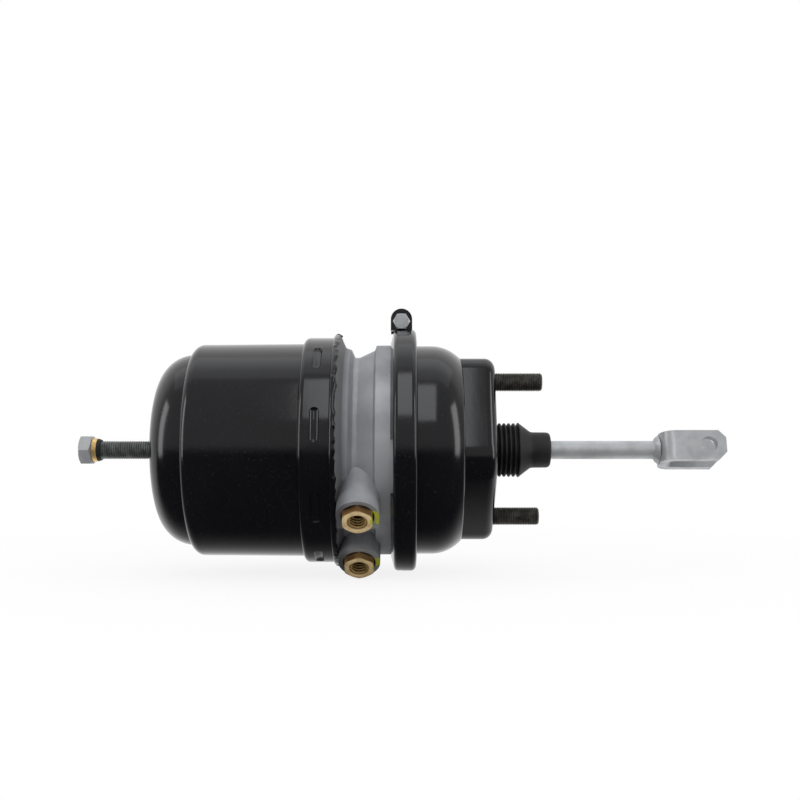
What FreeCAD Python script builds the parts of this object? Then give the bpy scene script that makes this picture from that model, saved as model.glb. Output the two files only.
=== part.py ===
import FreeCAD, Part
import math
import os

from FreeCAD import Vector

# Combination air brake chamber for a truck axle: a spring housing, a cast centre flange and a
# front housing on one axis. X runs along the push rod and points out of the chamber, Z is up.
# The origin is the centre of the mounting face, between the two studs. Millimetres.

# Driving sizes
STUD_SPACING = 120.65
STUD_R = 8.0
STUD_REACH = 41.3
STUD_SHANK_R = 8.6
STUD_LINE_TILT = 11.0
STROKE = 57.0
SHEET = 3.0
RUNNING_GAP = 0.06
PART_GAP = 0.3

# Stations along the axis
CLAMP_X = -80.0
LUG_X = -81.0
PORT_X = -116.2
RIM_X = -134.3
RIM_LEFT_X = -136.4
BAND_END_X = -136.6
BAND_START_X = -164.4
SHOULDER_IN_X = -160.9
HOUSING_END_X = -291.0
STEP_X = HOUSING_END_X + 42.0
CAVITY_FLOOR_X = -112.0
WEB_LEFT_X = CAVITY_FLOOR_X - 20.0
HUB_LEFT_X = CAVITY_FLOOR_X - 38.0
FLANGE_LEFT_X = -158.0

# Spring housing
BORE_R = 89.6
BARREL_R_NEAR = 93.3
BARREL_R_FAR = 92.5
END_CUP_R = 83.8
END_CORNER_R = 30.0
STEP_ARC_R = 12.5
BAND_R = 98.6
BAND_CORNER_R = 4.6
LIP_R = 97.9
LIP_WIDTH = 2.8
RECESS_R = 20.0
RECESS_DEPTH = 3.0
INDENT_COUNT = 9
INDENT_FIRST_DEG = 11.9
INDENT_LENGTH = 30.0
INDENT_WIDTH = 7.8
INDENT_DEPTH = 2.0
INDENT_X = -151.0
INDENT_CURVE_R = 4.6
STAKE_CURVE_R = 7.2
STAKE_GROOVE = 12.0
STAKE_GROOVE_R = BAND_R + INDENT_CURVE_R - INDENT_DEPTH - STAKE_CURVE_R - 0.5

# Centre flange
SPIGOT_R = BAND_R - SHEET - PART_GAP
RIM_R = 100.5
GROOVE_R = 81.3
BOWL_R = 91.4
SHOULDER_R = BOWL_R + 0.6
HUB_BORE_R = 20.0
HUB_R = 36.0
CAVITY_R = 62.0
CAVITY_MOUTH_R = BOWL_R - 1.4
PORT_TILT = 44.0
PORT_OFFSET = 28.2
BOSS_R = 17.5
BOSS_FACE = 105.7
BOSS_ROOT = 66.0
FITTING_HEX = 24.0
FITTING_HEX_HEIGHT = 7.0
FITTING_THREAD_R = 10.9
FITTING_THREAD_LENGTH = 13.0
PORT_BORE_R = 7.25
PORT_MOUTH_R = 9.0
PORT_SEAL_R = 13.4
PORT_SEAL_THICK = 1.4
CHANNEL_R = 4.0

# Clamp ring
JOINT_R = BOWL_R + 9.6
CLAMP_SHEET = 2.5
CLAMP_CROWN_R = JOINT_R + CLAMP_SHEET + 2.5
CLAMP_CROWN_CURVE_R = 4.0
CLAMP_LEG_R = BOWL_R + 1.6
CLAMP_HALF_WIDTH = 5.3
CLAMP_LEG_DEG = 13.5
LIP_FACE_X = CLAMP_X - 3.0
BEAD_THICK = 5.6
BEAD_INNER_R = BOWL_R + 1.6
LUG_HALF_WIDTH = 9.3
LUG_OUTER_Y = 17.0
LUG_THICK = 6.0
CLAMP_BOLT_Z = CLAMP_CROWN_R + 5.4
LUG_TOP_Z = CLAMP_BOLT_Z + 11.6
CLAMP_BOLT_R = 4.0
CLAMP_HEX = 13.0
CLAMP_HEAD_HEIGHT = 5.3
CLAMP_NUT_HEIGHT = 6.5
LEG_NOTCH_START = -5.0
LEG_NOTCH_END = 22.0

# Front housing
BOWL_TURN_X = -42.5
BOWL_TURN_R = 34.0
SHOULDER_X = -29.0
SHOULDER_EDGE_R = 80.0
PAD_HALF_LENGTH = 81.0
PAD_HALF_WIDTH = 62.0
PAD_CORNER_R = 14.0
PAD_EDGE_R = 9.0
ROD_HOLE_R = 24.2
PLATE_THICK = 4.0
PLATE_HALF_LENGTH = 73.0
PLATE_HALF_WIDTH = 34.0
STUD_HEAD_R = 13.0
STUD_HEAD_THICK = 5.0

# Push rod, clevis and boot
ROD_R = 8.0
ROD_COLLAR_R = 11.5
CLEVIS_X = 146.0
CLEVIS_END_X = 201.8
CLEVIS_HOLE_X = 187.0
CLEVIS_HOLE_R = 7.1
CLEVIS_GAP = 20.0
CLEVIS_EAR = 8.0
CLEVIS_HEIGHT = 26.0
CLEVIS_TILT = 16.0
CLEVIS_CHAMFER = 6.5
CLEVIS_BEND_R = 13.0
BOOT_RIDGE_R = 23.8
BOOT_RIDGES = 4
BOOT_PITCH = 4.1
BOOT_FOLD_R = 18.0
BOOT_SLEEVE_R = 15.6
BOOT_END_X = 50.0
BOOT_WALL = 2.0
PUSH_PLATE_R = 58.0
PUSH_PLATE_THICK = 3.0
DIAPHRAGM_THICK = 3.0

# Piston, push tube and release bolt
PISTON_FACE_X = HOUSING_END_X + 73.0
PISTON_WEB = 8.0
PISTON_SKIRT = 22.0
PISTON_RIM = 7.0
PISTON_R = BORE_R - 1.0
TUBE_R = 15.0
TUBE_BORE_R = 11.0
TUBE_FOOT_R = 28.0
TUBE_FOOT_THICK = 5.0
TUBE_SHOULDER = 6.0
BOLT_DISC_THICK = 6.0
SPRING_WIRE_R = 6.2
SPRING_COIL_R = 62.0
RETURN_WIRE_R = 2.0
RETURN_COIL_R = 33.0
BOLT_R = 8.0
BOLT_HEX = 24.0
BOLT_HEX_X = HOUSING_END_X - 73.1
BOLT_HEX_HEIGHT = 10.9
BOLT_BRASS_R = 10.6
BOLT_BRASS_THICK = 4.2
BOLT_SEAL_R = 9.8
BOLT_SEAL_THICK = 3.2
BUSH_R = 14.0

ORIGIN = Vector(0, 0, 0)
AXIS = Vector(1, 0, 0)


def corner_arc(before, corner, after, radius):
    """Tangent points and middle of the arc that rounds one corner."""
    to_before = (before - corner).normalize()
    to_after = (after - corner).normalize()
    half = to_before.getAngle(to_after) / 2
    reach = radius / math.tan(half)
    bisector = (to_before + to_after).normalize()
    middle = corner + bisector * (radius / math.sin(half) - radius)
    return corner + to_before * reach, middle, corner + to_after * reach


def rounded_wire(corners, place):
    """Closed outline through the corners (a, b, radius), each rounded where its radius is set."""
    points = [place(a, b) for a, b, radius in corners]
    count = len(points)
    starts = []
    ends = []
    edges = []
    for i, (a, b, radius) in enumerate(corners):
        if radius:
            first, middle, last = corner_arc(points[i - 1], points[i], points[(i + 1) % count], radius)
            edges.append(Part.Arc(first, middle, last).toShape())
        else:
            first = last = points[i]
        starts.append(first)
        ends.append(last)
    for i in range(count):
        following = starts[(i + 1) % count]
        if ends[i].distanceToPoint(following) > 1e-4:
            edges.append(Part.LineSegment(ends[i], following).toShape())
    return Part.Wire(Part.__sortEdges__(edges))


def in_section(x, r):
    return Vector(x, 0, r)


def revolved(corners):
    """Turned solid from a half section of (x, r, corner radius)."""
    face = Part.Face(rounded_wire(corners, in_section))
    return face.revolve(ORIGIN, AXIS, 360)


def ring(x0, x1, inner, outer):
    return revolved([(x0, inner, 0), (x1, inner, 0), (x1, outer, 0), (x0, outer, 0)])


def rod(x0, x1, radius):
    return Part.makeCylinder(radius, x1 - x0, Vector(x0, 0, 0), AXIS)


def hexagon(flats, start, length, direction, corner_direction):
    """Hexagonal prism with a corner along corner_direction."""
    radius = flats / math.sqrt(3)
    side = direction.cross(corner_direction)
    points = []
    for i in range(6):
        angle = math.radians(60 * i)
        out = corner_direction * math.cos(angle) + side * math.sin(angle)
        points.append(start + out * radius)
    face = Part.Face(Part.makePolygon(points + points[:1]))
    return face.extrude(direction * length)


def chamfered_hexagon(flats, start, length, direction, corner_direction, cone_ends):
    """Hexagon whose corners are cut by a 30 degree cone at the named ends (0 start, 1 end)."""
    body = hexagon(flats, start, length, direction, corner_direction)
    corner = flats / math.sqrt(3)
    inset = flats / 2 * 0.95
    drop = (corner - inset) * math.tan(math.radians(30))
    low = [(0, inset), (drop, corner)] if 0 in cone_ends else [(0, corner)]
    high = [(length - drop, corner), (length, inset)] if 1 in cone_ends else [(length, corner)]
    outline = [(0, 0)] + low + high + [(length, 0)]
    points = [Vector(x, 0, r) for x, r in outline]
    face = Part.Face(Part.makePolygon(points + points[:1]))
    cone = face.revolve(ORIGIN, AXIS, 360)
    cone.Placement = FreeCAD.Placement(start, FreeCAD.Rotation(AXIS, direction))
    return body.common(cone)


def turned_about_axis(shape, degrees):
    copy = shape.copy()
    copy.rotate(ORIGIN, AXIS, degrees)
    return copy


def helix_spring(x0, x1, coil_r, wire_r, turns):
    """Round wire coiled about the axis, its coil ends inside x0 and x1."""
    height = x1 - x0 - 2 * wire_r
    path = Part.makeHelix(height / turns, height, coil_r)
    profile = Part.Wire(Part.makeCircle(wire_r, Vector(coil_r, 0, 0), Vector(0, 1, 0)))
    spring = Part.Wire(path.Edges).makePipeShell([profile], True, True)
    spring.rotate(ORIGIN, Vector(0, 1, 0), 90)
    spring.translate(Vector(x0 + wire_r, 0, 0))
    return spring


def unit_port_axis():
    tilt = math.radians(PORT_TILT)
    return Vector(0, -math.cos(tilt), -math.sin(tilt))


def unit_port_side():
    tilt = math.radians(PORT_TILT)
    return Vector(0, math.sin(tilt), -math.cos(tilt))


def port_point(side, distance):
    """Point on a port's axis; side is -1 for the upper port and 1 for the lower one."""
    return Vector(PORT_X, 0, 0) + unit_port_side() * (side * PORT_OFFSET) + unit_port_axis() * distance


def port_cylinder(side, low, high, radius):
    return Part.makeCylinder(radius, high - low, port_point(side, low), unit_port_axis())


def stud_direction():
    tilt = math.radians(STUD_LINE_TILT)
    return Vector(0, -math.sin(tilt), math.cos(tilt))


def stud_side():
    tilt = math.radians(STUD_LINE_TILT)
    return Vector(0, math.cos(tilt), math.sin(tilt))


def round_ended_groove(centre_r, curve_r, length):
    """Round bar bent along the ring at 12 o'clock, with ball ends."""
    half = math.degrees((length / 2 - curve_r) / BAND_R)
    circle = Part.Face(Part.Wire(Part.makeCircle(curve_r, Vector(INDENT_X, 0, centre_r), Vector(0, 1, 0))))
    bar = turned_about_axis(circle.revolve(ORIGIN, AXIS, 2 * half), -half)
    ball = Part.makeSphere(curve_r, Vector(INDENT_X, 0, centre_r))
    for angle in (-half, half):
        bar = bar.fuse(turned_about_axis(ball, angle))
    return bar.removeSplitter()


def spring_housing():
    end_in = HOUSING_END_X + SHEET
    floor = HOUSING_END_X + RECESS_DEPTH
    cup_in = END_CUP_R - SHEET
    step_centre_r = BARREL_R_FAR - STEP_ARC_R
    step_start_x = STEP_X - math.sqrt(STEP_ARC_R ** 2 - (END_CUP_R - step_centre_r) ** 2)
    band_in = BAND_R - SHEET
    outer = [
        (floor, BUSH_R + PART_GAP, 0),
        (floor, RECESS_R, 2.0),
        (HOUSING_END_X, RECESS_R + 3.0, 2.5),
        (HOUSING_END_X, END_CUP_R, END_CORNER_R - 0.5),
        (step_start_x, END_CUP_R, 0),
        (step_start_x + 0.2, BARREL_R_FAR, STEP_ARC_R - 4.0),
        (BAND_START_X - 0.4, BARREL_R_NEAR, 0.3),
        (BAND_START_X, BAND_R, BAND_CORNER_R),
        (BAND_END_X - LIP_WIDTH, BAND_R, 0),
        (BAND_END_X - LIP_WIDTH + 0.3, LIP_R, 0),
        (BAND_END_X, LIP_R - 0.4, 0),
    ]
    inner = [
        (BAND_END_X, band_in, 0),
        (SHOULDER_IN_X, band_in, 1.5),
        (SHOULDER_IN_X, BORE_R, 1.0),
        (STEP_X + 4.0, BORE_R, 4.0),
        (step_start_x + SHEET + 1.0, cup_in, 2.0),
        (end_in, cup_in, END_CORNER_R - SHEET - 0.5),
        (end_in, RECESS_R + 3.0 + SHEET, 2.5),
        (floor + SHEET, RECESS_R + SHEET, 2.0),
        (floor + SHEET, BUSH_R + PART_GAP, 0),
    ]
    shell = revolved(outer + inner)
    pitch = 360.0 / INDENT_COUNT
    centre_r = BAND_R + INDENT_CURVE_R - INDENT_DEPTH
    ends = 2 * (INDENT_CURVE_R - INDENT_WIDTH / 2)
    pocket = round_ended_groove(centre_r, INDENT_CURVE_R, INDENT_LENGTH + ends)
    stake = round_ended_groove(centre_r, STAKE_CURVE_R, INDENT_LENGTH + ends)
    stake = stake.common(rod(BAND_START_X, BAND_END_X, BAND_R - SHEET + 0.5))
    for i in range(INDENT_COUNT):
        angle = 90.0 - INDENT_FIRST_DEG - pitch * i
        shell = shell.fuse(turned_about_axis(stake, angle))
        shell = shell.cut(turned_about_axis(pocket, angle))
    return shell


def clamp_inner_x(radius, side):
    """Inner face of a clamp leg at a radius; side is -1 left and 1 right."""
    slope = math.tan(math.radians(CLAMP_LEG_DEG))
    crown_in = CLAMP_CROWN_R - CLAMP_SHEET
    return CLAMP_X + side * (CLAMP_HALF_WIDTH + (crown_in - radius) * slope)


def flange_cavity():
    """Air space in the flange behind the diaphragm."""
    return revolved([
        (CAVITY_FLOOR_X, 0, 0),
        (CAVITY_FLOOR_X, CAVITY_R, 4.0),
        (LIP_FACE_X, CAVITY_MOUTH_R, 1.0),
        (LIP_FACE_X, 0, 0),
    ])


def centre_flange():
    lip_edge_x = clamp_inner_x(JOINT_R, -1) + PART_GAP
    lip_root_x = clamp_inner_x(SHOULDER_R + 1.0, -1) + PART_GAP
    body = revolved([
        (FLANGE_LEFT_X, GROOVE_R - 3.3, 2.0),
        (FLANGE_LEFT_X, SPIGOT_R, 1.0),
        (INDENT_X - STAKE_GROOVE / 2, SPIGOT_R, 0),
        (INDENT_X - STAKE_GROOVE / 2, STAKE_GROOVE_R, 0.5),
        (INDENT_X + STAKE_GROOVE / 2, STAKE_GROOVE_R, 0.5),
        (INDENT_X + STAKE_GROOVE / 2, SPIGOT_R, 0),
        (RIM_LEFT_X, SPIGOT_R, 0),
        (RIM_LEFT_X, RIM_R, 0.6),
        (RIM_X, RIM_R, 1.0),
        (-129.4, 89.8, 2.0),
        (-124.6, 88.3, 1.5),
        (-121.6, GROOVE_R, 1.5),
        (-117.5, GROOVE_R, 3.0),
        (-104.0, 87.6, 1.0),
        (-102.6, SHOULDER_R, 1.0),
        (lip_root_x, SHOULDER_R, 0.5),
        (lip_edge_x, JOINT_R, 0.5),
        (LIP_FACE_X, JOINT_R, 0.5),
        (LIP_FACE_X, CAVITY_MOUTH_R, 1.0),
        (CAVITY_FLOOR_X, CAVITY_R, 4.0),
        (CAVITY_FLOOR_X, HUB_BORE_R, 0),
        (HUB_LEFT_X, HUB_BORE_R, 0),
        (HUB_LEFT_X, HUB_R, 2.0),
        (WEB_LEFT_X, HUB_R + 2.0, 4.0),
        (WEB_LEFT_X, GROOVE_R - 7.3, 4.0),
    ])
    bosses = None
    for side in (-1, 1):
        boss = port_cylinder(side, BOSS_ROOT, BOSS_FACE, BOSS_R)
        bosses = boss if bosses is None else bosses.fuse(boss)
    block_width = 2 * BOSS_R - 1.0
    block = Part.makeBox(block_width, 14.0, BOSS_FACE - BOSS_ROOT)
    block.translate(Vector(-block_width / 2, -14.0, 0))
    block.Placement = FreeCAD.Placement(port_point(-1, BOSS_ROOT), port_rotation()).multiply(block.Placement)
    cavity = flange_cavity()
    body = body.fuse(bosses.cut(cavity))
    body = body.fuse(block.cut(cavity))
    for side in (-1, 1):
        depth = FITTING_THREAD_LENGTH + 1.0
        body = body.cut(port_cylinder(side, BOSS_FACE - depth, BOSS_FACE + 1.0, FITTING_THREAD_R + PART_GAP))
        spot_depth = BOSS_FACE - PORT_SEAL_THICK
        body = body.cut(port_cylinder(side, spot_depth, BOSS_FACE + 1.0, PORT_SEAL_R + PART_GAP))
    body = body.cut(port_cylinder(-1, 64.0, BOSS_FACE - FITTING_THREAD_LENGTH, CHANNEL_R))
    body = body.cut(port_cylinder(1, 42.0, BOSS_FACE - FITTING_THREAD_LENGTH, CHANNEL_R))
    to_left = port_point(-1, 64.0)
    body = body.cut(Part.makeCylinder(CHANNEL_R, 18.0, Vector(WEB_LEFT_X - 2.0, to_left.y, to_left.z), AXIS))
    to_right = port_point(1, 42.0)
    body = body.cut(Part.makeCylinder(CHANNEL_R, 8.0, Vector(PORT_X, to_right.y, to_right.z), AXIS))
    return body.removeSplitter()


def port_rotation():
    """Local X stays along the chamber, local -Y points from the upper port to the lower, local Z out of them."""
    return FreeCAD.Rotation(AXIS, unit_port_side() * -1, unit_port_axis(), "ZXY")


def port_fitting(side):
    start = port_point(side, BOSS_FACE)
    head = chamfered_hexagon(FITTING_HEX, start, FITTING_HEX_HEIGHT, unit_port_axis(), unit_port_side(), (1,))
    thread = port_cylinder(side, BOSS_FACE - FITTING_THREAD_LENGTH, BOSS_FACE + 0.5, FITTING_THREAD_R)
    fitting = head.fuse(thread)
    fitting = fitting.cut(port_cylinder(side, BOSS_FACE - 20.0, BOSS_FACE + 20.0, PORT_BORE_R))
    mouth_depth = PORT_MOUTH_R - PORT_BORE_R
    face = BOSS_FACE + FITTING_HEX_HEIGHT
    mouth = Part.makeCone(PORT_BORE_R, PORT_MOUTH_R, mouth_depth, port_point(side, face - mouth_depth), unit_port_axis())
    return fitting.cut(mouth)


def port_seal_rings():
    rings = []
    for side in (-1, 1):
        low = BOSS_FACE - PORT_SEAL_THICK
        outer = port_cylinder(side, low, BOSS_FACE, PORT_SEAL_R)
        rings.append(outer.cut(port_cylinder(side, low - 1, BOSS_FACE + 1, FITTING_THREAD_R + PART_GAP)))
    return Part.makeCompound(rings)


def clamp_ring():
    crown_in = CLAMP_CROWN_R - CLAMP_SHEET
    thick = CLAMP_SHEET / math.cos(math.radians(CLAMP_LEG_DEG))
    body = revolved([
        (clamp_inner_x(CLAMP_LEG_R, -1) - thick, CLAMP_LEG_R, 1.0),
        (clamp_inner_x(CLAMP_CROWN_R, -1) - thick + 0.4, CLAMP_CROWN_R, CLAMP_CROWN_CURVE_R),
        (clamp_inner_x(CLAMP_CROWN_R, 1) + thick - 0.4, CLAMP_CROWN_R, CLAMP_CROWN_CURVE_R),
        (clamp_inner_x(CLAMP_LEG_R, 1) + thick, CLAMP_LEG_R, 1.0),
        (clamp_inner_x(CLAMP_LEG_R, 1), CLAMP_LEG_R, 1.0),
        (clamp_inner_x(crown_in, 1), crown_in, 0.8),
        (clamp_inner_x(crown_in, -1), crown_in, 0.8),
        (clamp_inner_x(CLAMP_LEG_R, -1), CLAMP_LEG_R, 1.0),
    ])
    gap_y = LUG_OUTER_Y - LUG_THICK
    body = body.cut(Part.makeBox(60, 2 * gap_y, 60, Vector(CLAMP_X - 30, -gap_y, CLAMP_LEG_R - 20)))
    notch = notch_sector(crown_in - 0.8)
    body = body.cut(turned_about_axis(notch, 90 + LEG_NOTCH_START))
    body = body.cut(turned_about_axis(notch, -90 - LEG_NOTCH_END))
    for side in (-1, 1):
        body = body.fuse(clamp_lug(side))
    return body


def notch_sector(outer_r):
    """Sector that relieves both legs, starting at 12 o'clock and turning towards the near side."""
    sweep = LEG_NOTCH_END - LEG_NOTCH_START
    inner_r = CLAMP_LEG_R - 10
    face = Part.Face(Part.makePolygon([
        Vector(CLAMP_X - 20, 0, inner_r), Vector(CLAMP_X + 20, 0, inner_r),
        Vector(CLAMP_X + 20, 0, outer_r), Vector(CLAMP_X - 20, 0, outer_r), Vector(CLAMP_X - 20, 0, inner_r)]))
    return face.revolve(ORIGIN, AXIS, sweep)


def clamp_lug(side):
    """Flat lug beside the gap, with a round top and the bolt hole."""
    inner_y = LUG_OUTER_Y - LUG_THICK
    y = inner_y if side > 0 else -LUG_OUTER_Y
    centre_z = LUG_TOP_Z - LUG_HALF_WIDTH
    base_z = CLAMP_CROWN_R - CLAMP_SHEET + 0.4
    plate = Part.makeBox(2 * LUG_HALF_WIDTH, LUG_THICK, centre_z - base_z)
    plate.translate(Vector(LUG_X - LUG_HALF_WIDTH, y, base_z))
    top = Part.makeCylinder(LUG_HALF_WIDTH, LUG_THICK, Vector(LUG_X, y, centre_z), Vector(0, 1, 0))
    hole = Part.makeCylinder(CLAMP_BOLT_R + PART_GAP, LUG_THICK + 2, Vector(LUG_X, y - 1, CLAMP_BOLT_Z), Vector(0, 1, 0))
    return plate.fuse(top).cut(hole)


def clamp_bolt():
    start = Vector(LUG_X, -LUG_OUTER_Y, CLAMP_BOLT_Z)
    head = chamfered_hexagon(CLAMP_HEX, start, CLAMP_HEAD_HEIGHT, Vector(0, -1, 0), AXIS, (1,))
    length = 2 * LUG_OUTER_Y + CLAMP_NUT_HEIGHT + 3.0
    shank = Part.makeCylinder(CLAMP_BOLT_R, length, start, Vector(0, 1, 0))
    return head.fuse(shank)


def clamp_nut():
    start = Vector(LUG_X, LUG_OUTER_Y, CLAMP_BOLT_Z)
    nut = chamfered_hexagon(CLAMP_HEX, start, CLAMP_NUT_HEIGHT, Vector(0, 1, 0), AXIS, (0, 1))
    return nut.cut(Part.makeCylinder(CLAMP_BOLT_R + 0.02, 30, start - Vector(0, 5, 0), Vector(0, 1, 0)))


def pad_block(inset, x0, x1, edge_r):
    """Oblong block along the stud line: a round disc with two flats, its front edge rounded."""
    long_r = PAD_HALF_LENGTH - inset
    flat = PAD_HALF_WIDTH - inset
    corner = PAD_CORNER_R - inset
    centre_v = flat - corner
    centre_u = math.sqrt((long_r - corner) ** 2 - centre_v ** 2)
    along = stud_direction()
    across = stud_side()

    def point(u, v):
        return Vector(x0, 0, 0) + along * u + across * v

    def on_circle(u, v):
        scale = long_r / math.hypot(u, v)
        return point(u * scale, v * scale)

    edges = []
    for side in (-1, 1):
        end = on_circle(side * centre_u, -centre_v)
        far = on_circle(side * centre_u, centre_v)
        edges.append(Part.Arc(end, point(side * long_r, 0), far).toShape())
        edges.append(Part.LineSegment(point(-centre_u, side * flat), point(centre_u, side * flat)).toShape())
        for v in (-1, 1):
            start = on_circle(side * centre_u, v * centre_v)
            turn = math.atan2(centre_v, centre_u) / 2 + math.pi / 4
            middle = point(side * (centre_u + corner * math.cos(turn)), v * (centre_v + corner * math.sin(turn)))
            edges.append(Part.Arc(start, middle, point(side * centre_u, v * flat)).toShape())
    face = Part.Face(Part.Wire(Part.__sortEdges__(edges)))
    block = face.extrude(AXIS * (x1 - x0))
    front = [e for e in block.Edges if abs(e.CenterOfMass.x - x1) < 1e-3]
    return block.makeFillet(edge_r, front)


def front_housing():
    edge_x = clamp_inner_x(JOINT_R, 1) - PART_GAP
    root_x = clamp_inner_x(BOWL_R, 1) - PART_GAP
    bead_x = LIP_FACE_X + BEAD_THICK
    bowl = revolved([
        (bead_x, 0, 0),
        (bead_x, JOINT_R, 0.5),
        (edge_x, JOINT_R, 0.5),
        (root_x, BOWL_R, 0.6),
        (BOWL_TURN_X, BOWL_R, BOWL_TURN_R),
        (SHOULDER_X, SHOULDER_EDGE_R, 5.0),
        (SHOULDER_X, 0, 0),
    ])
    hollow = revolved([
        (bead_x - 1, 0, 0),
        (bead_x - 1, BOWL_R - SHEET, 0),
        (BOWL_TURN_X - 1.5, BOWL_R - SHEET, BOWL_TURN_R - SHEET),
        (SHOULDER_X - SHEET, SHOULDER_EDGE_R - 2.0, 3.0),
        (SHOULDER_X - SHEET, 0, 0),
    ])
    outer = bowl.fuse(pad_block(0, SHOULDER_X - 4.0, 0, PAD_EDGE_R))
    inner = hollow.fuse(pad_block(SHEET, SHOULDER_X - SHEET - 1.0, -PLATE_THICK, PAD_EDGE_R - SHEET))
    body = outer.cut(inner)
    body = body.cut(rod(-20, 5, ROD_HOLE_R))
    for side in (-1, 1):
        place = stud_direction() * (side * STUD_SPACING / 2)
        body = body.cut(Part.makeCylinder(STUD_SHANK_R + PART_GAP, 30, place - AXIS * 20, AXIS))
    return body.removeSplitter()


def stud_backing_plate():
    """Stiffening plate behind the mounting face, which both studs pass through."""
    x0 = -2 * PLATE_THICK
    half = PLATE_HALF_LENGTH - PLATE_HALF_WIDTH
    plate = Part.makeBox(PLATE_THICK, 2 * PLATE_HALF_WIDTH, 2 * half)
    plate.translate(Vector(x0, -PLATE_HALF_WIDTH, -half))
    for side in (-1, 1):
        end = Part.makeCylinder(PLATE_HALF_WIDTH, PLATE_THICK, Vector(x0, 0, side * half), AXIS)
        plate = plate.fuse(end)
        hole_place = Vector(x0 - 1, 0, side * STUD_SPACING / 2)
        plate = plate.cut(Part.makeCylinder(STUD_SHANK_R + PART_GAP, PLATE_THICK + 2, hole_place, AXIS))
    plate = plate.cut(rod(x0 - 1, 1, ROD_HOLE_R + 6.0))
    return turned_about_axis(plate.removeSplitter(), STUD_LINE_TILT)


def mounting_studs():
    head_x = -2 * PLATE_THICK - STUD_HEAD_THICK
    chamfer = 1.6
    stud = revolved([
        (head_x, 0, 0),
        (head_x, STUD_HEAD_R, 1.0),
        (head_x + STUD_HEAD_THICK, STUD_HEAD_R, 0),
        (head_x + STUD_HEAD_THICK, STUD_SHANK_R, 0),
        (0, STUD_SHANK_R, 0),
        (0, STUD_R, 0),
        (STUD_REACH - chamfer, STUD_R, 0),
        (STUD_REACH, STUD_R - chamfer, 0),
        (STUD_REACH, 0, 0),
    ])
    pair = []
    for side in (-1, 1):
        copy = stud.copy()
        copy.translate(stud_direction() * (side * STUD_SPACING / 2))
        pair.append(copy)
    return Part.makeCompound(pair)


def diaphragm():
    """Moulded rubber diaphragm: clamped bead, sloping side and flat centre."""
    bead_x = LIP_FACE_X + BEAD_THICK
    centre_x = diaphragm_x()
    thick = DIAPHRAGM_THICK
    return revolved([
        (centre_x, 0, 0),
        (centre_x + thick, 0, 0),
        (centre_x + thick, CAVITY_R - 1.5, 4.0),
        (LIP_FACE_X + thick, CAVITY_MOUTH_R - 5.5, 3.0),
        (LIP_FACE_X + thick, BEAD_INNER_R, 1.0),
        (bead_x, BEAD_INNER_R + 1.0, 1.0),
        (bead_x, JOINT_R, 1.5),
        (LIP_FACE_X, JOINT_R, 1.5),
        (LIP_FACE_X, CAVITY_MOUTH_R - 3.0, 4.0),
        (centre_x, CAVITY_R, 7.0),
    ])


def push_plate():
    """Pressed plate behind the rod, with the socket that the rod's foot turns in."""
    x0 = plate_face_x() - PUSH_PLATE_THICK
    x1 = plate_face_x()
    hub_x = x1 + 9.0
    cavity_r = ROD_COLLAR_R + RUNNING_GAP
    return revolved([
        (x0, 0, 0),
        (x0, PUSH_PLATE_R - 4.0, 3.0),
        (x0 + 4.0, PUSH_PLATE_R, 1.0),
        (x0 + 7.0, PUSH_PLATE_R, 1.0),
        (x0 + 7.0, PUSH_PLATE_R - PUSH_PLATE_THICK, 1.0),
        (x1, PUSH_PLATE_R - 7.5, 2.0),
        (x1, cavity_r + 4.5, 1.0),
        (hub_x, cavity_r + 3.5, 0.8),
        (hub_x, cavity_r, 0),
        (x1, cavity_r, 0),
        (x1, 0, 0),
    ])


def plate_face_x():
    return diaphragm_x() + DIAPHRAGM_THICK + PART_GAP + PUSH_PLATE_THICK


def socket_retainer():
    """Ring pressed into the socket in front of the rod's foot."""
    x0 = plate_face_x() + 4.3
    return ring(x0, x0 + 3.0, ROD_R + 0.09, ROD_COLLAR_R + RUNNING_GAP)


def push_rod():
    x0 = plate_face_x() + 0.1
    weld_x = CLEVIS_X
    return revolved([
        (x0, 0, 0),
        (x0, ROD_COLLAR_R, 1.0),
        (x0 + 4.0, ROD_COLLAR_R, 0),
        (x0 + 4.0, ROD_R, 0),
        (weld_x - 3.5, ROD_R, 0),
        (weld_x, ROD_R + 3.5, 0),
        (weld_x, 0, 0),
    ])


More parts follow.
